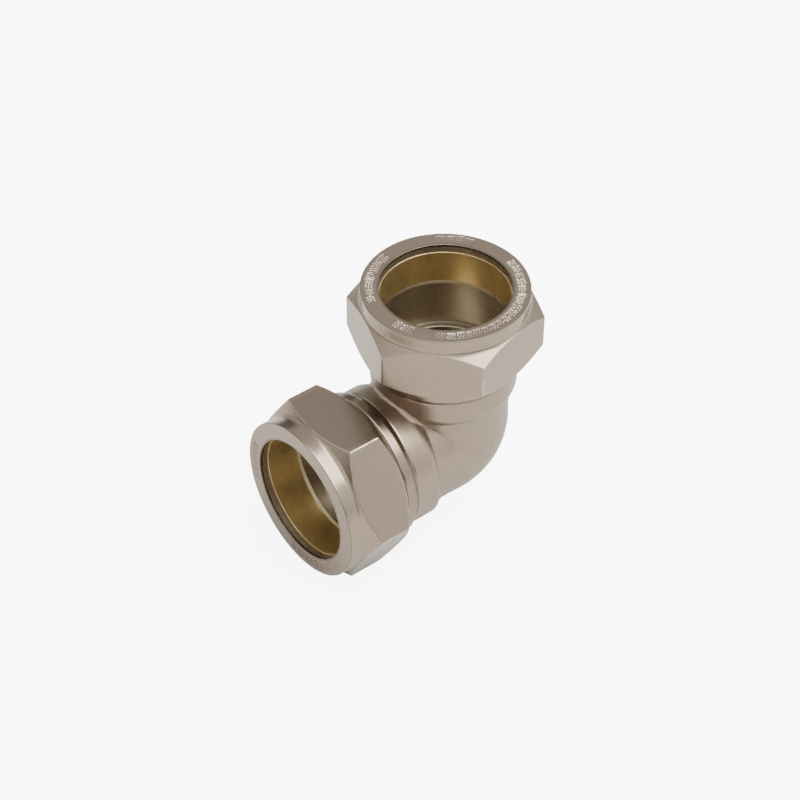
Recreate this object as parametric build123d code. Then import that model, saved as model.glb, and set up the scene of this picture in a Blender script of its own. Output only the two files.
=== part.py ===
from build123d import *
import math
import os

# Equal 90 degree elbow compression fitting for 28 mm tube, sizes in millimetres.
# The origin is where the two leg axes cross. The upper leg runs along +Z and the
# side leg along -X. Each leg is drawn along +Z with "s" as the distance from the
# origin along its axis, then the side leg is turned over to -X.

# Tube and waterway
tube_radius = 14.0
socket_clearance = 0.1
stop_ledge = 1.6
stop_edge = 0.4
stop_behind_shoulder = 5.05

# Forged elbow
bend_wall = 2.0
bend_centre_radius = 3.0
barrel_wall = 1.9
barrel_length = 8.3
barrel_foot_round = 3.0
barrel_neck_round = 0.9

# Shoulder ring that the thread runs up to
shoulder_over_thread = 0.3
shoulder_width = 1.45
shoulder_edge = 0.25
relief_width = 1.6
relief_depth = 0.15

# Parallel pipe thread G1, 55 degrees, right hand
spigot_wall = 1.046
thread_pitch = 2.309
thread_flank_angle = 27.5
thread_height = 0.640327 * thread_pitch
thread_crest_width = 0.1666 * thread_pitch
thread_clearance = 0.25
ridge_sink = 0.12

# Mouth of the socket, where the olive wedges in
mouth_flare = 0.7
mouth_slope = 0.4
mouth_rim = 0.2

# Olive
olive_clearance = 0.05
olive_wall = 1.0
olive_tip_wall = 0.2
olive_tip_slope = 0.4
olive_length = 7.7
olive_entry = 0.9
olive_seat_gap = 0.05

# Nut
nut_wall = 1.625
nut_length = 16.3
nut_collar_wall = 2.55
nut_face_edge = 0.3
nut_collar_length = 3.35
nut_front_slope = 0.735
nut_rear_wall = 0.375
nut_rear_slope = 0.86
nut_lip_length = 1.9
nut_bore_clearance = 0.15
nut_bore_edge = 0.2
nut_chamber_relief = 0.2
nut_thread_past_mouth = 0.45
nut_mouth_edge = 0.25

# Rest place of each nut: the gap that it leaves to the shoulder ring, and the
# angle of one hexagon corner about the leg
nuts_apart = 1.0
nut_gap = 0.25
upper_nut_turn = 12.6
side_nut_turn = 30.0

# The shoulder ring of the side leg is this much wider, and all that lies
# outside it sits that much further out
side_leg_longer = 0.65

# Radii that follow from the ones above
socket_radius = tube_radius + socket_clearance
waterway_radius = tube_radius - stop_ledge
bend_radius = waterway_radius + bend_wall
barrel_radius = socket_radius + barrel_wall
thread_root_radius = socket_radius + spigot_wall
thread_radius = thread_root_radius + thread_height
shoulder_radius = thread_radius + shoulder_over_thread
relief_radius = thread_root_radius - relief_depth
mouth_radius = socket_radius + mouth_flare
rim_radius = mouth_radius + mouth_rim
olive_bore_radius = tube_radius + olive_clearance
olive_radius = olive_bore_radius + olive_wall
olive_tip_radius = olive_bore_radius + olive_tip_wall
nut_bore_radius = tube_radius + nut_bore_clearance
nut_chamber_radius = thread_root_radius + thread_clearance + nut_chamber_relief
nut_thread_radius = thread_radius + thread_clearance
nut_face_radius = nut_chamber_radius + nut_collar_wall
nut_rear_radius = nut_thread_radius + nut_rear_wall
nut_across_flats = 2 * (nut_thread_radius + nut_wall)
hex_corner_radius = nut_across_flats / 2 / math.cos(math.radians(30))

# Places along a leg that follow from the ones above
shoulder_front = hex_corner_radius + nuts_apart
shoulder_start = shoulder_front - shoulder_width
stop_place = shoulder_front - stop_behind_shoulder
barrel_foot_place = shoulder_start - barrel_length
thread_start = shoulder_front + relief_width
home_face = shoulder_front + nut_gap + nut_length
olive_tip_length = (olive_radius - olive_tip_radius) / olive_tip_slope
olive_behind_face = nut_lip_length + olive_tip_radius - nut_bore_radius + olive_seat_gap
mouth_place = home_face - olive_behind_face - olive_length + olive_entry
nut_thread_length = mouth_place + nut_thread_past_mouth - (home_face - nut_length)
side_leg = Rotation(0, -90, 0)
side_end = side_leg * Pos(0, 0, side_leg_longer)
upward = (Align.CENTER, Align.CENTER, Align.MIN)


def turned(points):
    """Solid of revolution about Z from (radius, s) corners."""
    corners = [(radius, 0, s) for radius, s in points]
    return revolve(make_face(Polyline(*corners, close=True)), Axis.Z)


def round_bar(radius, start, end):
    """Straight round bar along Z."""
    return Pos(0, 0, start) * Cylinder(radius, end - start, align=upward)


def bent_run(radius, reach):
    """Both legs as one round bar, joined by a quarter bend about the inner corner."""
    upright = round_bar(radius, bend_centre_radius, reach)
    width = radius + bend_centre_radius
    outer_part = Pos(radius - width / 2, 0) * Rectangle(width, 2 * radius)
    section = Pos(0, 0, bend_centre_radius) * (Circle(radius) & outer_part)
    bend_axis = Axis((-bend_centre_radius, 0, bend_centre_radius), (0, 1, 0))
    return upright + side_leg * upright + revolve(section, bend_axis, 90)


def barrel(longer):
    """Thick forged sleeve round one socket, with a rounded foot."""
    sleeve = round_bar(barrel_radius, barrel_foot_place, shoulder_front + longer)
    foot = sleeve.edges().sort_by(Axis.Z)[0]
    return fillet(foot, barrel_foot_round)


def helical_ridge(root_radius, crest_radius, first_turn, last_turn):
    """One thread ridge on the helix through (radius, 0, 0), drawn turn by turn."""
    flank = math.tan(math.radians(thread_flank_angle))
    crest_half = thread_crest_width / 2
    root_half = crest_half + (crest_radius - root_radius) * flank
    section = [
        (root_radius, -root_half),
        (crest_radius, -crest_half),
        (crest_radius, crest_half),
        (root_radius, root_half),
    ]
    faces = []
    for turn in range(first_turn, last_turn):
        rails = []
        for radius, shift in section:
            foot = (0, 0, turn * thread_pitch + shift)
            rails.append(Edge.make_helix(thread_pitch, thread_pitch, radius, foot))
        for lower, upper in zip(rails, rails[1:] + rails[:1]):
            faces.append(Face.make_surface_from_curves(lower, upper))
        if turn == first_turn:
            faces.append(Face(Wire.make_polygon([rail @ 0 for rail in rails], close=True)))
        if turn == last_turn - 1:
            faces.append(Face(Wire.make_polygon([rail @ 1 for rail in rails], close=True)))
    return Solid(Shell(faces))


def threaded_bar(allowance, start, end):
    """Over-long threaded bar, enlarged all round by the allowance."""
    root_radius = thread_root_radius + allowance
    crest_radius = thread_radius + allowance
    first_turn = math.floor(start / thread_pitch) - 1
    last_turn = math.ceil(end / thread_pitch) + 1
    core_start = (first_turn - 1) * thread_pitch
    core_end = (last_turn + 1) * thread_pitch
    ridge = helical_ridge(root_radius - ridge_sink, crest_radius, first_turn, last_turn)
    return round_bar(root_radius, core_start, core_end) + ridge


def shoulder_ring(longer):
    """Ring that the nut stops at, with the neck that leads up to it."""
    neck_start = shoulder_start - barrel_neck_round
    front = shoulder_front + longer
    return turned([
        (0, neck_start),
        (barrel_radius, neck_start),
        (shoulder_radius - shoulder_edge, shoulder_start),
        (shoulder_radius, shoulder_start + shoulder_edge),
        (shoulder_radius, front - shoulder_edge),
        (shoulder_radius - shoulder_edge, front),
        (0, front),
    ])


def spigot():
    """Thread relief and outside thread of one leg."""
    relief = round_bar(relief_radius, shoulder_start, thread_start)
    reach = thread_radius + 1
    limits = turned([
        (0, thread_start),
        (relief_radius, thread_start),
        (reach, thread_start + reach - relief_radius),
        (reach, mouth_place - (reach - rim_radius)),
        (rim_radius, mouth_place),
        (0, mouth_place),
    ])
    return relief + (threaded_bar(0, thread_start, mouth_place) & limits)


def socket():
    """Bore of one leg: tube socket, stop ledge and flared mouth."""
    flare_length = mouth_flare / mouth_slope
    return turned([
        (0, stop_place),
        (waterway_radius + stop_edge, stop_place),
        (socket_radius, stop_place),
        (socket_radius, mouth_place - flare_length),
        (mouth_radius, mouth_place),
        (0, mouth_place),
    ])


def stop_bevel():
    """Small bevel where the stop ledge meets the waterway."""
    return turned([
        (0, stop_place - stop_edge),
        (waterway_radius, stop_place - stop_edge),
        (waterway_radius + stop_edge, stop_place),
        (0, stop_place),
    ])


def elbow_body():
    """The whole forging, turned, threaded and bored."""
    reach = stop_place + side_leg_longer
    opening = socket() + stop_bevel()
    upper_outside = barrel(0) + shoulder_ring(0) + spigot()
    side_sleeve = barrel(side_leg_longer) + shoulder_ring(side_leg_longer)
    side_outside = side_leg * side_sleeve + side_end * spigot()
    outside = bent_run(bend_radius, reach) + upper_outside + side_outside
    inside = bent_run(waterway_radius, reach) + opening + side_end * opening
    return outside - inside


def olive():
    """Brass ring at its rest place, tapered at both ends."""
    front = home_face - olive_behind_face
    rear = front - olive_length
    return turned([
        (olive_bore_radius, rear),
        (olive_tip_radius, rear),
        (olive_radius, rear + olive_tip_length),
        (olive_radius, front - olive_tip_length),
        (olive_tip_radius, front),
        (olive_bore_radius, front),
    ])


def nut_blank(rear, face, turn):
    """Hexagon bar turned down to a collar in front and coned at the back."""
    hexagon = RegularPolygon(hex_corner_radius, 6, rotation=turn)
    bar = Pos(0, 0, rear) * extrude(hexagon, nut_length)
    cone_start = face - nut_collar_length
    reach = hex_corner_radius + 1
    envelope = turned([
        (0, rear),
        (nut_rear_radius, rear),
        (reach, rear + (reach - nut_rear_radius) * nut_rear_slope),
        (reach, cone_start - (reach - nut_face_radius) * nut_front_slope),
        (nut_face_radius, cone_start),
        (nut_face_radius, face - nut_face_edge),
        (nut_face_radius - nut_face_edge, face),
        (0, face),
    ])
    return bar & envelope


def nut_bore(rear, face):
    """Lip bore, seat for the olive, and the chamber that the olive sits in."""
    seat = face - nut_lip_length
    chamber = seat - (nut_chamber_radius - nut_bore_radius)
    return turned([
        (0, rear + nut_thread_length),
        (nut_chamber_radius, rear + nut_thread_length),
        (nut_chamber_radius, chamber),
        (nut_bore_radius, seat),
        (nut_bore_radius, face - nut_bore_edge),
        (nut_bore_radius + nut_bore_edge, face),
        (0, face),
    ])


def nut_thread_space(rear):
    """Space for the inside thread, coned out at the open end."""
    thread_end = rear + nut_thread_length
    reach = nut_thread_radius + 1
    limits = turned([
        (0, rear),
        (reach, rear),
        (reach, thread_end - (reach - nut_chamber_radius)),
        (nut_chamber_radius, thread_end),
        (0, thread_end),
    ])
    mouth = turned([
        (0, rear),
        (nut_thread_radius + nut_mouth_edge, rear),
        (0, rear + nut_thread_radius + nut_mouth_edge),
    ])
    return (threaded_bar(thread_clearance, rear, thread_end) & limits) + mouth


def nut(turn):
    """One nut at its rest place on a leg along Z."""
    rear = home_face - nut_length
    return nut_blank(rear, home_face, turn) - nut_bore(rear, home_face) - nut_thread_space(rear)


def save(shape, name):
    shape.label = name
    export_step(shape, f"parts/{name}.step")


os.makedirs("parts", exist_ok=True)
save(elbow_body(), "elbow_body")
save(olive(), "upper_olive")
save(side_end * olive(), "side_olive")
save(nut(upper_nut_turn), "upper_nut")
save(side_end * nut(side_nut_turn), "side_nut")
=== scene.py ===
import math

import bmesh
import bpy
import numpy as np
from mathutils import Matrix, Vector


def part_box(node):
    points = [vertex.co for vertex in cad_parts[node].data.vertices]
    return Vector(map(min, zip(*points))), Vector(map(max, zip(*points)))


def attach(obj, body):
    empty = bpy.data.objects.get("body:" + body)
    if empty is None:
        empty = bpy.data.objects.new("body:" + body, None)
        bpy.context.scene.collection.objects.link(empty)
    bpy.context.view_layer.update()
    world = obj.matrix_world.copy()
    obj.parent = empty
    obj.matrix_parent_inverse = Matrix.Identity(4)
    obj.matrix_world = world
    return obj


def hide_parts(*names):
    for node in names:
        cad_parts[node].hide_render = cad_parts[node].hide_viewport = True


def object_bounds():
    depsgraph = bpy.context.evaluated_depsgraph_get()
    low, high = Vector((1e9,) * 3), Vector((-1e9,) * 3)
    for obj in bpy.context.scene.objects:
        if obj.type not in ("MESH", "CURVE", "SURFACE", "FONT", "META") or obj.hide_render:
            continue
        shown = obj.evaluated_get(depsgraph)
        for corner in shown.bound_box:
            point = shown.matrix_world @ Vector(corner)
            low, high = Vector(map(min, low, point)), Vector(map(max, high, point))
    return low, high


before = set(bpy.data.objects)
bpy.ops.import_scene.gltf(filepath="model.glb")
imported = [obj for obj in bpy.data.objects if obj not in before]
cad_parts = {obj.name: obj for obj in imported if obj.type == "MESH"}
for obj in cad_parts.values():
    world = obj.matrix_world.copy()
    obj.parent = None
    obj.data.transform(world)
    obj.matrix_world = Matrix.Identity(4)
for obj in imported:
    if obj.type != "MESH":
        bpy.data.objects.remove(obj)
cad_box = [list(corner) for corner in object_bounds()]


# ---------------------------------------------------------------------------
# Elbow body. One hot-stamped brass forging: a tight bend with a thick barrel on
# each leg. Both ends are then turned, threaded and bored on a lathe, and the whole
# body is nickel plated. Lengths are in millimetres, but the studio's are in metres.

nut_gap = 0.25
shoulder_width = 1.45
neck_length = 1.8
neck_cone = 1.3
relief_length = 1.6
stop_behind_shoulder = 5.05
ledge_run = 1.2
mouth_cone_wide = 0.7
mouth_cone_deep = 1.75
barrel_foot = 12.6
barrel_foot_round = 2.6
shoulder_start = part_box("upper_nut")[0].z * 1000 - nut_gap - shoulder_width
neck_start = shoulder_start - neck_length
bend_radius = 14.4
bend_turn = 3.0
barrel_radius = 16.0
shoulder_radius = 16.92
relief_radius = 14.996
rim_radius = 15.0
socket_radius = 14.1
waterway_radius = 12.4
thread_pitch = 2.309
thread_middle = 15.886
thread_half = 0.74
rows_per_turn = 12
forged_rows = 96
waterway_rows = 34
least_radius = 6.0
most_radius = 27.0
halvings = 44

# Angles round a leg, from the inside of the bend towards +Y, closed on themselves.
columns = 192
around = np.arange(columns) * 2 * math.pi / columns
upper_phase = (math.pi - around) % (2 * math.pi)
side_phase = around % (2 * math.pi)


def blend_min(one, two, reach):
    """The lesser of two distances, with the join between them filleted."""
    share = np.clip(0.5 + 0.5 * (two - one) / reach, 0, 1)
    return two * (1 - share) + one * share - reach * share * (1 - share)


def sleeve_distance(along, across, side, foot, foot_round):
    """Distance outside a barrel on the along axis, whose foot is rounded."""
    wide = np.hypot(across, side) - barrel_radius + foot_round
    low = foot - along + foot_round
    outside = np.hypot(np.maximum(wide, 0), np.maximum(low, 0))
    return outside + np.minimum(np.maximum(wide, low), 0) - foot_round


def run_distance(along, across, side, radius):
    """Distance outside a round run that follows both legs and the bend."""
    corner = np.abs(np.hypot(across - bend_turn, along - bend_turn) - bend_turn)
    off = np.where(along > bend_turn, np.abs(across), corner)
    other = np.where(along > bend_turn, np.minimum(np.abs(across), np.abs(along)), np.abs(along))
    off = np.where(across > bend_turn, other, off)
    return np.hypot(off, side) - radius


def forged_distance(radius, place, angle, low_foot, low_round):
    """Distance outside the forging, at a radius and a place along one leg.

    The fillet between the two barrels wavers a little, and flares where they part.
    """
    across = radius * np.cos(angle)
    side = radius * np.sin(angle)
    outer = np.clip(-np.cos(angle), 0, 1) ** 1.5
    foot = barrel_foot + (low_foot - barrel_foot) * outer
    foot_round = barrel_foot_round + (low_round - barrel_foot_round) * outer
    own = sleeve_distance(place, across, side, foot, foot_round)
    other = sleeve_distance(across, place, side, barrel_foot, barrel_foot_round)
    flare = np.clip((np.abs(side) - 7.0) / 4.0, 0, 1) ** 2
    waver = 0.3 * np.sin(0.9 * side + 1.0) + 0.15 * np.sin(2.3 * side)
    barrels = blend_min(own, other, 0.95 + waver + 2.4 * flare)
    near_corner = np.exp(-((own - other) / 1.8) ** 2)
    bend = run_distance(place, across, side, bend_radius)
    return blend_min(barrels, bend, 0.5 + 2.2 * outer + 1.4 * near_corner)


def bore_distance(radius, place, angle, *_):
    """Distance outside the waterway, whose inside corner is slightly rounded."""
    return run_distance(place, radius * np.cos(angle), radius * np.sin(angle), waterway_radius)


def solve_radius(distance, place, angle, shape, on_mitre=False):
    """Radius at which a distance is nought, by halving, within one leg's half."""
    place, angle = np.broadcast_arrays(place, angle)
    low = np.full(angle.shape, least_radius)
    reach = np.cos(angle)
    limit = place / np.maximum(reach, 1e-6)
    high = np.where((reach > 1e-6) & (not on_mitre), np.minimum(limit, most_radius), most_radius)
    for _ in range(halvings):
        middle = (low + high) / 2
        here = middle * reach if on_mitre else place
        inside = distance(middle, here, angle, *shape) < 0
        low = np.where(inside, middle, low)
        high = np.where(inside, high, middle)
    return (low + high) / 2


def bent_rows(distance, top, steps, shape):
    """Rows of (radius, place) from the mitre between the legs up to a place."""
    mitre = solve_radius(distance, around, around, shape, on_mitre=True)
    foot = mitre * np.cos(around)
    rows = []
    for step in range(steps):
        share = step / steps
        place = foot + (top - foot) * share
        radius = mitre if step == 0 else solve_radius(distance, place, around, shape)
        rows.append(np.stack([radius, place], -1))
    return np.array(rows)


def rounded(corners, rounds, spans, steps=4):
    """Rows of (radius, place) through corners, with spans steps between them.

    A positive round is worn bright; a negative one is a hollow darkened with painted shade.
    """
    level = np.zeros(columns)
    flat = [np.stack([radius + level, place + level], -1) for radius, place in corners]
    starts, ends, arcs = [flat[0]], [flat[0]], [[]]
    for before, here, after, size in zip(flat, flat[1:], flat[2:], rounds):
        back, forth = before - here, after - here
        back_length = np.linalg.norm(back, axis=-1, keepdims=True) + 1e-9
        forth_length = np.linalg.norm(forth, axis=-1, keepdims=True) + 1e-9
        cosine = (back * forth).sum(-1, keepdims=True) / back_length / forth_length
        half = (math.pi - np.arccos(np.clip(cosine, -1, 1))) / 2
        cut = abs(size) * np.tan(half)
        cut = np.minimum(cut, 0.47 * np.minimum(back_length, forth_length))
        first = here + back / back_length * cut
        last = here + forth / forth_length * cut
        starts.append(first)
        ends.append(last)
        arc = []
        for t in np.linspace(0, 1, steps + 1)[1:-1]:
            point = first * (1 - t) ** 2 + here * 2 * t * (1 - t) + last * t * t
            arc.append((point, math.copysign(math.sin(math.pi * t), size)))
        arcs.append(arc)
    starts.append(flat[-1])
    ends.append(flat[-1])
    arcs.append([])
    rows, wear_and_shade = [flat[0]], [0.0]
    for index, span in enumerate(spans):
        for share in np.linspace(0, 1, span + 1)[1:]:
            rows.append(ends[index] + (starts[index + 1] - ends[index]) * share)
            wear_and_shade.append(0.0)
        if index + 2 < len(flat):
            for point, amount in arcs[index + 1]:
                rows.append(point)
                wear_and_shade.append(amount)
            rows.append(ends[index + 1])
            wear_and_shade.append(0.0)
    return np.array(rows), np.array(wear_and_shade)


def thread_rows(phase, start, end, low_limit, high_limit, allowance):
    """Helical rows of a rounded 55 degree thread. Each limit is a radius and the slope it grows by."""
    count = int(math.ceil((end - start) / thread_pitch * rows_per_turn)) + rows_per_turn
    turn = np.arange(count + 1)[:, None] / rows_per_turn * thread_pitch + start - thread_pitch
    place = np.clip(turn + phase / (2 * math.pi) * thread_pitch, start, end)
    shift = turn / thread_pitch
    wave = (0.25 - np.abs((shift + 0.5) % 1 - 0.5)) * thread_pitch / math.tan(math.radians(27.5)) * 0.98
    top = thread_half * 0.98
    crest = top - np.log1p(np.exp(np.clip((top - wave) * 9, -30, 30))) / 9
    crest = -top + np.log1p(np.exp(np.clip((crest + top) * 9, -30, 30))) / 9
    radius = thread_middle + allowance + crest + 0 * phase
    radius = np.minimum(radius, low_limit[0] + (place - start) * low_limit[1])
    radius = np.minimum(radius, high_limit[0] + (end - place) * high_limit[1])
    radius = np.maximum(radius, min(low_limit[0], high_limit[0]))
    return np.stack([radius, place], -1)


class Skin:
    """Vertices, faces and finish marks of one piece while its surface is laid in rows."""

    def __init__(self, upright, angles):
        self.upright = upright
        self.angles = angles
        self.points, self.legs, self.finishes, self.faces, self.kinds = [], [], [], [], []

    def row(self, ring, angles=None, wear_and_shade=0.0, turned=0.0, struck=0.0):
        """Adds one closed row and returns its vertex numbers."""
        angles = self.angles if angles is None else angles
        radius, place = ring[:, 0], ring[:, 1]
        across, side = radius * np.cos(angles), radius * np.sin(angles)
        if self.upright:
            spots = np.stack([-across, side, place], -1)
        else:
            spots = np.stack([-place, side, across], -1)
        first = len(self.points)
        self.points.extend(spots.tolist())
        self.legs.extend(np.stack([place, radius, 0 * place], -1).tolist())
        marks = np.stack(np.broadcast_arrays(wear_and_shade, turned, struck, 0 * place)[:3], -1)
        self.finishes.extend(marks.tolist())
        return np.arange(first, first + len(ring))

    def join(self, one, two, kind=0):
        """Joins two rows, the second of which may be several times as fine."""
        many = len(two) // len(one)
        for j in range(len(one)):
            k = (j + 1) % len(one)
            if many == 1:
                self.faces.append((one[j], one[k], two[k], two[j]))
                self.kinds.append(kind)
                continue
            fine = [two[(j * many + step) % len(two)] for step in range(many + 1)]
            middle = many // 2
            for step in range(many):
                near = one[j] if step < middle else one[k]
                self.faces.append((near, fine[step + 1], fine[step]))
                self.kinds.append(kind)
            self.faces.append((one[j], one[k], fine[middle]))
            self.kinds.append(kind)

    def thread(self, rows, phase, kind=0):
        """Adds helical rows, shifted by a turn where the angle starts again."""
        grid = np.array([self.row(ring, turned=0.6) for ring in rows])
        last = len(rows) - 1
        for j in range(len(phase)):
            k = (j + 1) % len(phase)
            jump = phase[k] - phase[j]
            own = rows_per_turn if jump > math.pi else 0
            beyond = rows_per_turn if jump < -math.pi else 0
            for step in range(last):
                corners = (grid[min(step + own, last)][j], grid[min(step + own + 1, last)][j],
                           grid[min(step + beyond + 1, last)][k], grid[min(step + beyond, last)][k])
                face = tuple(dict.fromkeys(corners))
                if len(face) > 2:
                    self.faces.append(face)
                    self.kinds.append(kind)
        return grid[0], grid[-1]

    def finish(self, name, materials):
        """Makes the mesh object, watertight, smooth and with its finish attributes."""
        mesh = bpy.data.meshes.new(name)
        spots = [tuple(c * 0.001 for c in point) for point in self.points]
        faces = [tuple(map(int, face)) for face in self.faces]
        mesh.from_pydata(spots, [], faces)
        for title, values in (("leg", self.legs), ("finish", self.finishes)):
            attribute = mesh.attributes.new(title, "FLOAT_VECTOR", "POINT")
            attribute.data.foreach_set("vector", np.array(values, np.float32).ravel())
        for material in materials:
            mesh.materials.append(material)
        mesh.polygons.foreach_set("material_index", np.array(self.kinds, np.int32))
        work = bmesh.new()
        work.from_mesh(mesh)
        bmesh.ops.remove_doubles(work, verts=work.verts, dist=2e-7)
        # A thread that starts between two columns leaves one sliver open at its first turn.
        open_edges = [edge for edge in work.edges if edge.is_boundary]
        bmesh.ops.holes_fill(work, edges=open_edges, sides=4)
        bmesh.ops.recalc_face_normals(work, faces=work.faces)
        work.to_mesh(mesh)
        work.free()
        mesh.polygons.foreach_set("use_smooth", [True] * len(mesh.polygons))
        made = bpy.data.objects.new(name, mesh)
        bpy.context.scene.collection.objects.link(made)
        return made


def new_group(title, inputs, outputs):
    """An empty shader node group with named inputs and outputs."""
    group = bpy.data.node_groups.new(title, "ShaderNodeTree")
    for label, kind, value in inputs:
        socket = group.interface.new_socket(name=label, in_out="INPUT", socket_type=kind)
        socket.default_value = value
    for label, kind in outputs:
        group.interface.new_socket(name=label, in_out="OUTPUT", socket_type=kind)
    return group, group.nodes.new("NodeGroupInput"), group.nodes.new("NodeGroupOutput")


def add_node(tree, kind, settings=None, **links):
    """A node with its settings made, and each named socket linked or set."""
    node = tree.nodes.new(kind)
    for label, value in (settings or {}).items():
        setattr(node, label, value)
    for label, value in links.items():
        key = int(label[1:]) if label[0] == "i" and label[1:].isdigit() else label.replace("_", " ")
        if isinstance(value, bpy.types.NodeSocket):
            tree.links.new(value, node.inputs[key])
        else:
            node.inputs[key].default_value = value
    return node


def ramp(tree, value, low, high, start=0.0, end=1.0):
    """A smooth step of a value between low and high."""
    return add_node(tree, "ShaderNodeMapRange", {"interpolation_type": "SMOOTHSTEP"}, Value=value,
                    From_Min=low, From_Max=high, To_Min=start, To_Max=end).outputs["Result"]


def maths(tree, kind, one, two=0.0):
    """One arithmetic node."""
    return add_node(tree, "ShaderNodeMath", {"operation": kind}, i0=one, i1=two).outputs[0]


# Cloudy tone of plating or of bare metal: broad patches and fine mottle.
tone_group, tone_in, tone_out = new_group(
    "metal tone",
    [("Colour", "NodeSocketColor", (0.5, 0.5, 0.5, 1)), ("Tarnish", "NodeSocketColor", (0.4, 0.4, 0.4, 1)),
     ("Patch Scale", "NodeSocketFloat", 90.0), ("Amount", "NodeSocketFloat", 0.5)],
    [("Colour", "NodeSocketColor"), ("Haze", "NodeSocketFloat")])
spot = add_node(tone_group, "ShaderNodeTexCoord").outputs["Object"]
broad = add_node(tone_group, "ShaderNodeTexNoise", Vector=spot, Scale=tone_in.outputs["Patch Scale"],
                 Detail=4.0, Roughness=0.6).outputs["Fac"]
fine_scale = maths(tone_group, "MULTIPLY", tone_in.outputs["Patch Scale"], 6.0)
fine = add_node(tone_group, "ShaderNodeTexNoise", Vector=spot, Scale=fine_scale, Detail=1.0).outputs["Fac"]
broad_part = maths(tone_group, "MULTIPLY", broad, 0.72)
fine_part = maths(tone_group, "MULTIPLY", fine, 0.28)
haze = ramp(tone_group, maths(tone_group, "ADD", broad_part, fine_part), 0.40, 0.66)
mixed = add_node(tone_group, "ShaderNodeMix", {"data_type": "RGBA"},
                 i0=maths(tone_group, "MULTIPLY", haze, tone_in.outputs["Amount"]),
                 i6=tone_in.outputs["Colour"], i7=tone_in.outputs["Tarnish"])
tone_group.links.new(mixed.outputs[2], tone_out.inputs["Colour"])
tone_group.links.new(haze, tone_out.inputs["Haze"])

# Lathe lines: fine grooves at one radius and place all the way round a leg.
lathe_group, lathe_in, lathe_out = new_group(
    "lathe lines",
    [("Lines Per Millimetre", "NodeSocketFloat", 9.0), ("Depth", "NodeSocketFloat", 0.5)],
    [("Height", "NodeSocketFloat")])
leg_spot = add_node(lathe_group, "ShaderNodeAttribute", {"attribute_name": "leg"}).outputs["Vector"]
marks = add_node(lathe_group, "ShaderNodeAttribute", {"attribute_name": "finish"}).outputs["Vector"]
turned_share = add_node(lathe_group, "ShaderNodeSeparateXYZ", Vector=marks).outputs["Y"]
lines = add_node(lathe_group, "ShaderNodeTexNoise", {"noise_dimensions": "2D"}, Vector=leg_spot,
                 Scale=lathe_in.outputs["Lines Per Millimetre"], Detail=2.0).outputs["Fac"]
depth = maths(lathe_group, "MULTIPLY", turned_share, lathe_in.outputs["Depth"])
level = maths(lathe_group, "SUBTRACT", lines, 0.5)
lathe_group.links.new(maths(lathe_group, "MULTIPLY", level, depth), lathe_out.inputs["Height"])

# Handling: hair scratches in all directions and a few small dents.
handling_group, handling_in, handling_out = new_group(
    "handling marks",
    [("Scratches", "NodeSocketFloat", 0.5), ("Pits", "NodeSocketFloat", 0.4)],
    [("Height", "NodeSocketFloat"), ("Marked", "NodeSocketFloat")])
spot = add_node(handling_group, "ShaderNodeTexCoord").outputs["Object"]
scratch = None
for turn, stretch in (((0.4, 0.9, 0.2), (260, 5200, 5200)), ((1.3, 0.2, 1.9), (5200, 240, 5200))):
    laid = add_node(handling_group, "ShaderNodeMapping", Vector=spot, Rotation=turn, Scale=stretch)
    hairs = add_node(handling_group, "ShaderNodeTexNoise", Vector=laid.outputs[0], Scale=1.0, Detail=1.0)
    hair = ramp(handling_group, hairs.outputs["Fac"], 0.67, 0.76)
    scratch = hair if scratch is None else maths(handling_group, "MAXIMUM", scratch, hair)
patchy = add_node(handling_group, "ShaderNodeTexNoise", Vector=spot, Scale=160.0, Detail=1.0).outputs["Fac"]
scratch = maths(handling_group, "MULTIPLY", scratch, ramp(handling_group, patchy, 0.48, 0.62))
scratch = maths(handling_group, "MULTIPLY", scratch, handling_in.outputs["Scratches"])
cells = add_node(handling_group, "ShaderNodeTexVoronoi", Vector=spot, Scale=620.0).outputs["Distance"]
dents = ramp(handling_group, cells, 0.24, 0.08)
seldom = add_node(handling_group, "ShaderNodeTexNoise", Vector=spot, Scale=330.0, Detail=0.0).outputs["Fac"]
pits = maths(handling_group, "MULTIPLY", dents, ramp(handling_group, seldom, 0.56, 0.64))
pits = maths(handling_group, "MULTIPLY", pits, handling_in.outputs["Pits"])
both = maths(handling_group, "MAXIMUM", scratch, pits)
handling_group.links.new(maths(handling_group, "MULTIPLY", both, -1.0), handling_out.inputs["Height"])
handling_group.links.new(both, handling_out.inputs["Marked"])

# Edge rubbing and painted shade: corners rubbed bright, and hollows darkened with painted shade.
wear_group, wear_in, wear_out = new_group(
    "edge wear", [("Width", "NodeSocketFloat", 0.5)],
    [("Bright", "NodeSocketFloat"), ("Hollow Shade", "NodeSocketFloat"), ("Struck Shade", "NodeSocketFloat")])
marks = add_node(wear_group, "ShaderNodeAttribute", {"attribute_name": "finish"}).outputs["Vector"]
parts = add_node(wear_group, "ShaderNodeSeparateXYZ", Vector=marks).outputs
spot = add_node(wear_group, "ShaderNodeTexCoord").outputs["Object"]
broken = add_node(wear_group, "ShaderNodeTexNoise", Vector=spot, Scale=420.0, Detail=3.0).outputs["Fac"]
rubbed_share = ramp(wear_group, parts["X"], 0.15, 0.9)
worn = maths(wear_group, "MULTIPLY", rubbed_share, ramp(wear_group, broken, 0.3, 0.6))
bright = maths(wear_group, "MULTIPLY", worn, wear_in.outputs["Width"])
wear_group.links.new(bright, wear_out.inputs["Bright"])
# Below nought, the first finish channel is painted shade that darkens hollows.
wear_group.links.new(ramp(wear_group, parts["X"], -0.1, -0.9), wear_out.inputs["Hollow Shade"])
wear_group.links.new(parts["Z"], wear_out.inputs["Struck Shade"])


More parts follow.
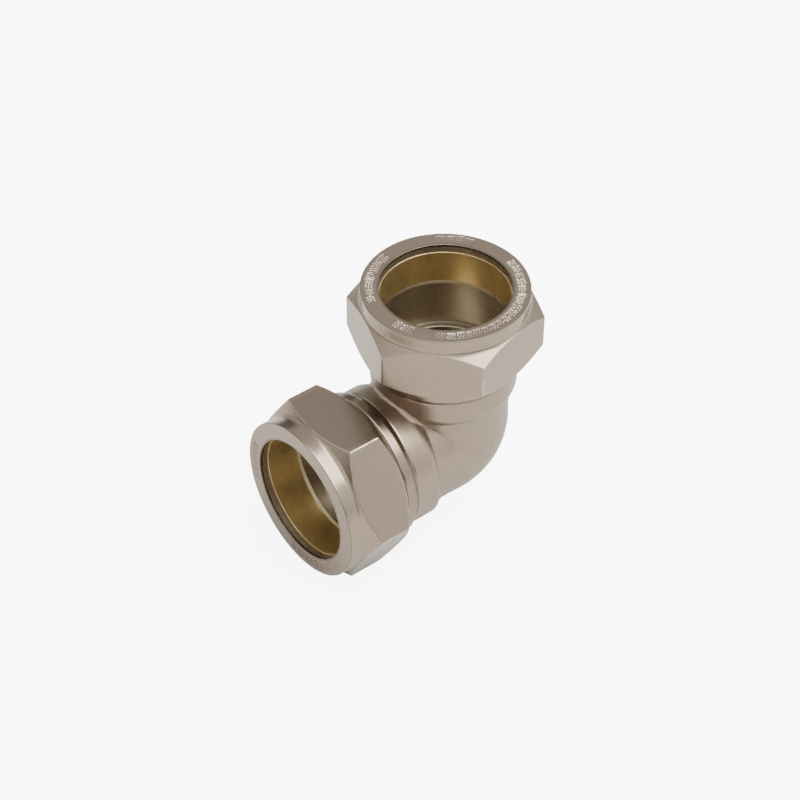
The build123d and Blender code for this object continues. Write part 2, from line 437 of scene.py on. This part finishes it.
def metal_finish(title, colour, tarnish, polish, roughness, lathe, grain, film_and_shade, cloud, handling):
    """A metal finish of its own colours: tone, lathe lines, handling marks, rubbed edges, and painted shade
    in hollows and struck strokes.
    """
    material = bpy.data.materials.new(title)
    material.use_nodes = True
    tree = material.node_tree
    shader = tree.nodes["Principled BSDF"]
    shader.inputs["Metallic"].default_value = 1.0

    def placed(group, **values):
        node = tree.nodes.new("ShaderNodeGroup")
        node.node_tree = group
        for label, value in values.items():
            node.inputs[label.replace("_", " ")].default_value = value
        return node.outputs

    tone = placed(tone_group, Colour=(*colour, 1), Tarnish=(*tarnish, 1), Patch_Scale=95.0, Amount=cloud)
    turned = placed(lathe_group, Lines_Per_Millimetre=lathe[0], Depth=lathe[1])
    handled = placed(handling_group, Scratches=handling[0], Pits=handling[1])
    edge = placed(wear_group, Width=0.8)
    rubbed = add_node(tree, "ShaderNodeMix", {"data_type": "RGBA"}, i0=edge["Bright"],
                      i6=tone["Colour"], i7=(*polish, 1))
    dull_and_shade = maths(tree, "MAXIMUM", edge["Hollow Shade"], maths(tree, "MULTIPLY", edge["Struck Shade"], 0.8))
    dull_and_shade = maths(tree, "MAXIMUM", dull_and_shade, maths(tree, "MULTIPLY", handled["Marked"], 0.4))
    # Dark colour for handling marks and for painted shade in hollows and struck strokes.
    shade_and_film_colour = tuple(0.03 + c * 0.35 for c in tarnish)
    shade_and_film_share = maths(tree, "MULTIPLY", dull_and_shade, film_and_shade)
    coloured = add_node(tree, "ShaderNodeMix", {"data_type": "RGBA"}, i0=shade_and_film_share,
                        i6=rubbed.outputs[2], i7=(*shade_and_film_colour, 1))
    tree.links.new(coloured.outputs[2], shader.inputs["Base Color"])
    rough = maths(tree, "ADD", maths(tree, "MULTIPLY", tone["Haze"], 0.06), roughness)
    rough = maths(tree, "ADD", rough, maths(tree, "MULTIPLY", handled["Marked"], 0.1))
    rough = maths(tree, "SUBTRACT", rough, maths(tree, "MULTIPLY", edge["Bright"], 0.08))
    tree.links.new(rough, shader.inputs["Roughness"])
    spot = add_node(tree, "ShaderNodeTexCoord").outputs["Object"]
    grains = add_node(tree, "ShaderNodeTexNoise", Vector=spot, Scale=2300.0, Detail=3.0).outputs["Fac"]
    height = maths(tree, "ADD", maths(tree, "MULTIPLY", grains, grain), turned["Height"])
    height = maths(tree, "ADD", height, maths(tree, "MULTIPLY", handled["Height"], 1.4))
    bump = add_node(tree, "ShaderNodeBump", Height=height, Strength=1.0, Distance=0.000006)
    tree.links.new(bump.outputs["Normal"], shader.inputs["Normal"])
    return material


nickel = (0.27, 0.215, 0.166)
nickel_dull = (0.245, 0.192, 0.145)
nickel_bright = (0.50, 0.43, 0.35)
forged_nickel = metal_finish(
    "forged nickel plate", nickel, nickel_dull, nickel_bright,
    roughness=0.36, lathe=(6.0, 0.5), grain=0.2, film_and_shade=0.5, cloud=0.5, handling=(0.3, 0.3))
turned_nickel = metal_finish(
    "turned nickel plate", nickel, nickel_dull, nickel_bright,
    roughness=0.22, lathe=(9.0, 0.5), grain=0.1, film_and_shade=0.85, cloud=0.3, handling=(0.3, 1.0))
# The bores' plating is painted lighter and yellower than outside, as painted light for the glow bounced
# inside them; its strong darkening paints shade at the stop ledge and inner corners.
bore_nickel_painted_light = metal_finish(
    "bored nickel plate painted lighter", (0.42, 0.37, 0.285), (0.38, 0.33, 0.25), (0.50, 0.44, 0.35),
    roughness=0.37, lathe=(5.0, 0.2), grain=0.0, film_and_shade=0.9, cloud=0.25, handling=(0.0, 0.0))


def forged_unevenness(ring, scale=0.03):
    """Slow unevenness that hot stamping leaves, in millimetres."""
    radius, place = ring[:, 0], ring[:, 1]
    one = np.sin(around * 3 + place * 0.31 + 0.7) + 0.7 * np.sin(around * 5 - place * 0.52 + 2.1)
    two = 0.5 * np.sin(around * 9 + place * 0.83) + 0.4 * np.sin(around * 2 - place * 1.1 + 4.0)
    return (one + two) * scale


forged_face, turned_face, bored_face = 0, 1, 2
elbow = Skin(True, around)
for upright, phase, low_foot, low_round, neck_shade in (
        (True, upper_phase, 9.0, 7.0, -0.35), (False, side_phase, 8.1, 2.8, -0.75)):
    elbow.upright = upright
    body_low, body_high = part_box("elbow_body")
    mouth = body_high.z * 1000 if upright else -body_low.x * 1000
    nut_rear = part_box("upper_nut")[0].z * 1000 if upright else -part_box("side_nut")[1].x * 1000
    shoulder_front = nut_rear - nut_gap
    stop_place = shoulder_front - stop_behind_shoulder
    forged = bent_rows(forged_distance, neck_start, forged_rows, (low_foot, low_round))
    share = np.linspace(0, 1, len(forged))
    fade = np.minimum(1, np.minimum(share * 8, (1 - share) * 8))
    numbers = []
    for ring, amount in zip(forged, fade):
        uneven = ring.copy()
        uneven[:, 0] += forged_unevenness(ring) * amount
        numbers.append(elbow.row(uneven))
    for one, two in zip(numbers, numbers[1:]):
        elbow.join(one, two, forged_face)
    shoulder, shoulder_wear_and_shade = rounded(
        [(barrel_radius, neck_start), (barrel_radius - 0.12, shoulder_start - neck_cone),
         (shoulder_radius - 0.22, shoulder_start - 0.1), (shoulder_radius, shoulder_start + 0.1),
         (shoulder_radius, shoulder_front), (relief_radius, shoulder_front),
         (relief_radius, shoulder_front + relief_length)],
        [-1.4, 0.12, 0.12, 0.3, -0.3], [2, 5, 1, 4, 3, 3])
    ring_radius, ring_place = shoulder[:, 0, 0], shoulder[:, 0, 1]
    # The neck cone is painted dark as painted shade in its cove, and the shoulder ring a little darker to
    # dim its highlight; the side leg more than the upper one.
    on_neck = (ring_place > shoulder_start - neck_cone - 0.05) & (ring_place < shoulder_start - 0.12)
    shoulder_wear_and_shade = np.where(on_neck, neck_shade, shoulder_wear_and_shade)
    on_ring = (ring_radius > shoulder_radius - 0.05) & (ring_place > shoulder_start)
    shoulder_wear_and_shade = np.where(on_ring, neck_shade * 0.5, shoulder_wear_and_shade)
    last = numbers[-1]
    for index, (ring, wear_and_shade) in enumerate(zip(shoulder[:-1], shoulder_wear_and_shade[:-1])):
        after = elbow.row(ring, wear_and_shade=wear_and_shade, turned=1.0)
        elbow.join(last, after, turned_face if index else forged_face)
        last = after
    threaded = thread_rows(
        phase, shoulder_front + relief_length, mouth, (relief_radius, 1.0), (rim_radius, 1.0), 0.0)
    foot, head = elbow.thread(threaded, phase, turned_face)
    elbow.join(last, foot, turned_face)
    inside, inside_wear_and_shade = rounded(
        [(rim_radius, mouth), (socket_radius + mouth_cone_wide, mouth),
         (socket_radius, mouth - mouth_cone_deep),
         (socket_radius, stop_place), (waterway_radius, stop_place),
         (waterway_radius, stop_place - ledge_run)],
        [0.06, 0.3, -0.15, 0.35], [1, 3, 24, 3, 2])
    # The stop ledge and the start of the waterway are painted dark: painted shade deep in the socket.
    on_ledge = inside[:, 0, 1] < stop_place + 0.01
    inside_wear_and_shade = np.where(on_ledge, -1.0, np.minimum(inside_wear_and_shade, 0))
    bore = [elbow.row(ring, wear_and_shade=wear_and_shade, turned=1.0) for ring, wear_and_shade in zip(inside[1:], inside_wear_and_shade[1:])]
    elbow.join(head, bore[0], turned_face)
    for one, two in zip(bore, bore[1:]):
        elbow.join(one, two, bored_face)
    bent = bent_rows(bore_distance, stop_place - ledge_run, waterway_rows, ())
    bent_numbers = [elbow.row(ring, turned=0.4) for ring in bent][::-1]
    elbow.join(bore[-1], bent_numbers[0], bored_face)
    for one, two in zip(bent_numbers, bent_numbers[1:]):
        elbow.join(one, two, bored_face)
elbow_piece = elbow.finish("elbow", [forged_nickel, turned_nickel, bore_nickel_painted_light])
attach(elbow_piece, "elbow")
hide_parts("elbow_body")


# ---------------------------------------------------------------------------
# Olives. Each is a ring turned from bare brass, tapered at both ends, that the nut
# squeezes on to the tube. It is the only unplated metal in the fitting.

olive_bore = 14.05
taper_radius = 14.25
taper_length = 2.0
olive_radius = 15.05
brass = metal_finish(
    "bare brass", (0.88, 0.70, 0.37), (0.84, 0.65, 0.32), (0.93, 0.80, 0.50),
    roughness=0.30, lathe=(7.0, 0.1), grain=0.0, film_and_shade=0.4, cloud=0.25, handling=(0.0, 0.0))
for node, upright in (("upper_olive", True), ("side_olive", False)):
    low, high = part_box(node)
    front, rear = (high.z * 1000, low.z * 1000) if upright else (-low.x * 1000, -high.x * 1000)
    section, section_wear = rounded(
        [(olive_bore, (front + rear) / 2), (olive_bore, front), (taper_radius, front),
         (olive_radius, front - taper_length), (olive_radius, rear + taper_length),
         (taper_radius, rear), (olive_bore, rear), (olive_bore, (front + rear) / 2)],
        [0.08, 0.08, 0.4, 0.4, 0.08, 0.08], [8, 1, 5, 6, 5, 1, 8], steps=5)
    olive = Skin(upright, around)
    numbers = [olive.row(ring, wear_and_shade=wear_and_shade, turned=1.0)
               for ring, wear_and_shade in zip(section[:-1], section_wear[:-1])]
    for one, two in zip(numbers, numbers[1:] + numbers[:1]):
        olive.join(one, two)
    olive_piece = olive.finish(node + "_ring", [brass])
    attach(olive_piece, node)
    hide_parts(node)


# ---------------------------------------------------------------------------
# Nuts. Each is cut from hexagon bar: a collar and two cones are turned on it, the
# inside is bored and threaded, and the front ring is struck with plain hatching.
# They are nickel plated like the body and screw on to its outside threads.

collar_radius = 18.146
collar_length = 3.35
rear_radius = 17.25
front_slope = 0.735
rear_slope = 0.80
half_flats = -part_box("side_nut")[0].z * 1000
corner_radius = half_flats / math.cos(math.radians(30))
corner_round = 0.55
lip_radius = 14.15
lip_length = 1.9
chamber_radius = 15.596
thread_mouth = 16.6
mouth_length = 0.4
rear_inner = 17.0
face_outer = 17.75
face_inner = 14.6
thread_depth = 7.9
thread_allowance = 0.25
face_inset = 0.02
hatch_inner, hatch_outer, hatch_rows = 14.66, 17.69, 31
hatch_middle = 16.2
hatch_arc = 16.25
hatch_gap = 0.25
stroke_half = 0.12
fine_columns = 6
mark_depth = 0.16


def hexagon_columns(turn):
    """Angles and radii round a hexagon with rounded corners, closer at the corners."""
    centre = corner_radius - corner_round / math.cos(math.radians(30))
    tangent = math.atan2(corner_round * 0.5, centre + corner_round * math.cos(math.radians(30)))
    angles, radii, corner = [], [], []
    for side in range(6):
        middle = math.radians(turn + 60 * side)
        for step in range(8):
            off = tangent * (step / 4 - 1)
            angles.append(middle + off)
            bulge = math.sqrt(corner_round ** 2 - (centre * math.sin(off)) ** 2)
            radii.append(centre * math.cos(off) + bulge)
            corner.append(math.cos(off / tangent * math.pi / 2))
        for step in range(24):
            off = tangent + (math.radians(60) - 2 * tangent) * step / 24
            angles.append(middle + off)
            radii.append(half_flats / math.cos(off - math.radians(30)))
            corner.append(0.0)
    turned_angles = np.array(angles) % (2 * math.pi)
    order = np.argsort(turned_angles)
    return turned_angles[order], np.array(radii)[order], np.array(corner)[order]


def struck_depth(angles, radius, groups, seed):
    """Depth, from 0 to 1, of plain crossed hatching struck into the face in short blocks."""
    chance = np.random.default_rng(seed)
    depth = np.zeros(np.broadcast(angles, radius).shape)
    for start, end in groups:
        spot = start
        while spot < end:
            wide = chance.uniform(1.2, 2.4)
            pitch = chance.uniform(0.56, 0.74)
            tall = chance.uniform(0.8, 1.1)
            high = radius - hatch_middle - chance.uniform(-0.12, 0.12)
            reach = hatch_arc * ((angles - math.radians(spot) + math.pi) % (2 * math.pi) - math.pi)
            block = np.maximum(np.abs(reach - wide / 2) - wide / 2, np.abs(high) - tall)
            for slant, force in ((0.55, chance.uniform(0.75, 1.0)), (-0.55, chance.uniform(0.4, 0.95))):
                stroke = np.abs((reach / pitch + slant * high / pitch) % 1 - 0.5) * pitch - stroke_half
                shape = np.maximum(stroke, block)
                depth = np.maximum(depth, np.clip(0.5 - shape / 0.14, 0, 1) * force)
            spot += math.degrees((wide + hatch_gap) / hatch_arc)
    return depth


# Angles of the hatching are in degrees, as start and end of each group of blocks.
for node, upright, turn, groups, seed, top_flat_shade, stroke_shade in (
        ("upper_nut", True, 47.4, ((122, 148), (20, 74), (187, 312), (334, 348)), 5, 0.0, 0.15),
        ("side_nut", False, 30.0, ((70, 105), (168, 228)), 8, -0.42, 1.0)):
    low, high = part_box(node)
    face, rear = (high.z * 1000, low.z * 1000) if upright else (-low.x * 1000, -high.x * 1000)
    nut_angles, hexagon, corner_wear = hexagon_columns(turn)
    phase = (math.pi - nut_angles) % (2 * math.pi) if upright else nut_angles % (2 * math.pi)
    nut = Skin(upright, nut_angles)
    top = face - face_inset
    cone_start = face - collar_length
    front_edge = cone_start - (hexagon - collar_radius) * front_slope
    rear_edge = rear + (hexagon - rear_radius) * rear_slope
    outside, outside_wear_and_shade = rounded(
        [(face_outer, top), (collar_radius, top), (collar_radius, cone_start), (hexagon, front_edge),
         (hexagon, rear_edge), (rear_radius, rear), (rear_inner, rear),
         (thread_mouth, rear + mouth_length)],
        [0.3, -1.3, 0.22, 0.22, 0.25, 0.05], [2, 5, 8, 12, 6, 1, 1], steps=5)
    # The round at the face's outer edge is painted dark: a painted dark reflection along the edge.
    on_edge = outside[:, 0, 1] > top - 0.29
    outside_wear_and_shade = np.where(on_edge, -np.abs(outside_wear_and_shade), np.maximum(outside_wear_and_shade, 0))
    # One flat, at the top of the side nut, is painted darker than the others: painted shade for the darker
    # reflection it shows.
    on_top = np.abs((nut_angles + math.pi) % (2 * math.pi) - math.pi) < math.radians(29)
    numbers = []
    for ring, wear_and_shade in zip(outside, outside_wear_and_shade):
        on_flat = (ring[:, 0] > hexagon - 0.02).astype(float)
        both = np.maximum(wear_and_shade, corner_wear * on_flat) if wear_and_shade >= 0 else wear_and_shade
        both = np.where(on_top * on_flat * (both < 0.05) > 0, top_flat_shade, both)
        numbers.append(nut.row(ring, wear_and_shade=both, turned=1.0 - on_flat))
    for one, two in zip(numbers, numbers[1:]):
        nut.join(one, two)
    threaded = thread_rows(phase, rear + mouth_length, rear + thread_depth, (thread_mouth, 1.0),
                           (chamber_radius, 1.0), thread_allowance)
    at_mouth = threaded[:, :, 1] <= rear + mouth_length
    threaded[:, :, 0] = np.where(at_mouth, thread_mouth, threaded[:, :, 0])
    foot, head = nut.thread(threaded, phase)
    nut.join(numbers[-1], foot)
    seat = face - lip_length
    inside, inside_wear_and_shade = rounded(
        [(chamber_radius, rear + thread_depth), (chamber_radius, seat - (chamber_radius - lip_radius)),
         (lip_radius, seat), (lip_radius, top), (face_inner, top)],
        [-0.2, 0.1, 0.12], [4, 4, 4, 1], steps=4)
    # The lip at the bore mouth is painted dark: painted shade under the lip.
    inside_wear_and_shade = np.where(inside[:, 0, 1] > top - 0.2, -0.6, inside_wear_and_shade)
    bore = [nut.row(ring, wear_and_shade=wear_and_shade, turned=1.0) for ring, wear_and_shade in zip(inside[1:], inside_wear_and_shade[1:])]
    nut.join(head, bore[0], 1)
    for one, two, ring in zip(bore, bore[1:], inside[2:]):
        nut.join(one, two, 0 if ring[0, 1] > top - 0.3 else 1)
    wrapped = np.append(nut_angles, nut_angles[0] + 2 * math.pi)
    steps_round = np.arange(columns * fine_columns) / fine_columns
    fine_angles = np.interp(steps_round, np.arange(columns + 1), wrapped)
    hatched = []
    for radius in np.linspace(hatch_inner, hatch_outer, hatch_rows):
        level_ring = np.full(fine_angles.shape, radius)
        depth = struck_depth(fine_angles, level_ring, groups, seed)
        ring = np.stack([level_ring, top - mark_depth * depth], -1)
        # Each struck stroke gets painted shade in its hollow and a painted glint on its rims; the side
        # nut's strokes are shaded more, the upper nut's glint more.
        rim_glint = 3.6 * depth * (1 - depth)
        hatched.append(nut.row(ring, angles=fine_angles, wear_and_shade=rim_glint * (1 - 0.6 * stroke_shade), turned=1.0 - depth,
                               struck=depth * (1 - rim_glint * (1 - stroke_shade))))
    nut.join(bore[-1], hatched[0])
    for one, two in zip(hatched, hatched[1:]):
        nut.join(one, two)
    nut.join(numbers[0], hatched[-1])
    nut_piece = nut.finish(node + "_hexagon", [turned_nickel, bore_nickel_painted_light])
    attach(nut_piece, node)
    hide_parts(node)


# ---------------------------------------------------------------------------
# Studio: a pale floor that the side nut and the bend rest on, two soft boxes, a
# soft white room, and a camera that looks down on the open ends.

floor_height = cad_box[0][2] - 0.00002
floor_mesh = bpy.data.meshes.new("floor")
sweep = bmesh.new()
bmesh.ops.create_grid(sweep, x_segments=8, y_segments=8, size=3.0)
sweep.to_mesh(floor_mesh)
sweep.free()
floor = bpy.data.objects.new("floor", floor_mesh)
floor.location = (0, 0, floor_height)
bpy.context.scene.collection.objects.link(floor)
floor_material = bpy.data.materials.new("pale floor")
floor_material.use_nodes = True
floor_tree = floor_material.node_tree
floor_shader = floor_tree.nodes["Principled BSDF"]
floor_shader.inputs["Base Color"].default_value = (0.78, 0.78, 0.77, 1)
floor_shader.inputs["Roughness"].default_value = 0.9
# The floor is overexposed where it is seen directly, as a white sweep is, but not in the metal.
seen = add_node(floor_tree, "ShaderNodeLightPath").outputs["Is Camera Ray"]
floor_shader.inputs["Emission Color"].default_value = (1, 1, 1, 1)
floor_tree.links.new(maths(floor_tree, "MULTIPLY", seen, 7.0), floor_shader.inputs["Emission Strength"])
floor_mesh.materials.append(floor_material)

# The room is white in front and greyer behind, with a dark low band on the side of the
# maker's bench and a darker doorway at the back.
room = bpy.data.worlds.new("soft room")
room.use_nodes = True
air = room.node_tree
outward = add_node(air, "ShaderNodeTexCoord").outputs["Generated"]


def towards(direction):
    """How far a view out of the scene points along a direction."""
    return add_node(air, "ShaderNodeVectorMath", {"operation": "DOT_PRODUCT"},
                    i0=outward, i1=direction).outputs["Value"]


def darkened(light, share, depth):
    """A light level with part of it taken away where a share is 1."""
    left = maths(air, "SUBTRACT", 1.0, maths(air, "MULTIPLY", share, depth))
    return maths(air, "MULTIPLY", light, left)


front = (-0.3, -0.954, 0.0)
bench = (-0.88, -0.47, 0.0)
doorway = (0.46, 0.87, 0.17)
height_seen = add_node(air, "ShaderNodeSeparateXYZ", Vector=outward).outputs["Z"]
brightness = ramp(air, towards(front), -0.75, 0.45, 1.02, 2.0)
band = maths(air, "MULTIPLY", ramp(air, height_seen, -0.10, 0.02), ramp(air, height_seen, 0.34, 0.14))
band = maths(air, "MULTIPLY", band, ramp(air, towards(bench), -0.1, 0.4))
brightness = darkened(brightness, band, 0.85)
brightness = darkened(brightness, ramp(air, towards(doorway), 0.945, 0.99), 0.75)
air.nodes["Background"].inputs["Color"].default_value = (1.0, 0.985, 0.965, 1)
air.links.new(brightness, air.nodes["Background"].inputs["Strength"])
bpy.context.scene.world = room


def soft_box(title, direction, distance, size, power):
    """A soft box that faces the fitting."""
    lamp = bpy.data.lights.new(title, "AREA")
    lamp.shape = "RECTANGLE"
    lamp.size, lamp.size_y = size
    lamp.energy = power
    lamp.color = (1.0, 0.985, 0.96)
    holder = bpy.data.objects.new(title, lamp)
    away = Vector(direction).normalized()
    holder.location = away * distance
    holder.rotation_mode = "QUATERNION"
    holder.rotation_quaternion = away.to_track_quat("Z", "Y")
    bpy.context.scene.collection.objects.link(holder)


soft_box("key soft box", (0.31, -0.38, 0.86), 0.6, (0.46, 0.40), 4.3)
soft_box("overhead soft box", (0.05, 0.02, 1.0), 0.8, (0.36, 0.36), 3.2)

camera_data = bpy.data.cameras.new("camera")
camera_data.lens = 106.77
camera_data.sensor_width = 36.0
camera_data.clip_start = 0.01
camera_data.clip_end = 20.0
camera = bpy.data.objects.new("camera", camera_data)
turn, rise, tilt = math.radians(-39.07), math.radians(42.09), math.radians(0.53)
back = Vector((math.sin(turn) * math.cos(rise), -math.cos(turn) * math.cos(rise), math.sin(rise)))
right = (-back).cross(Vector((0, 0, 1))).normalized()
up = right.cross(-back)
tilted_right = math.cos(tilt) * right + math.sin(tilt) * up
tilted_up = -math.sin(tilt) * right + math.cos(tilt) * up
camera.matrix_world = Matrix((
    (tilted_right.x, tilted_up.x, back.x, 0), (tilted_right.y, tilted_up.y, back.y, 0),
    (tilted_right.z, tilted_up.z, back.z, 0), (0, 0, 0, 1)))
camera.location = back * 0.5253 + tilted_right * -0.00935 + tilted_up * 0.00495
bpy.context.scene.collection.objects.link(camera)
bpy.context.scene.camera = camera
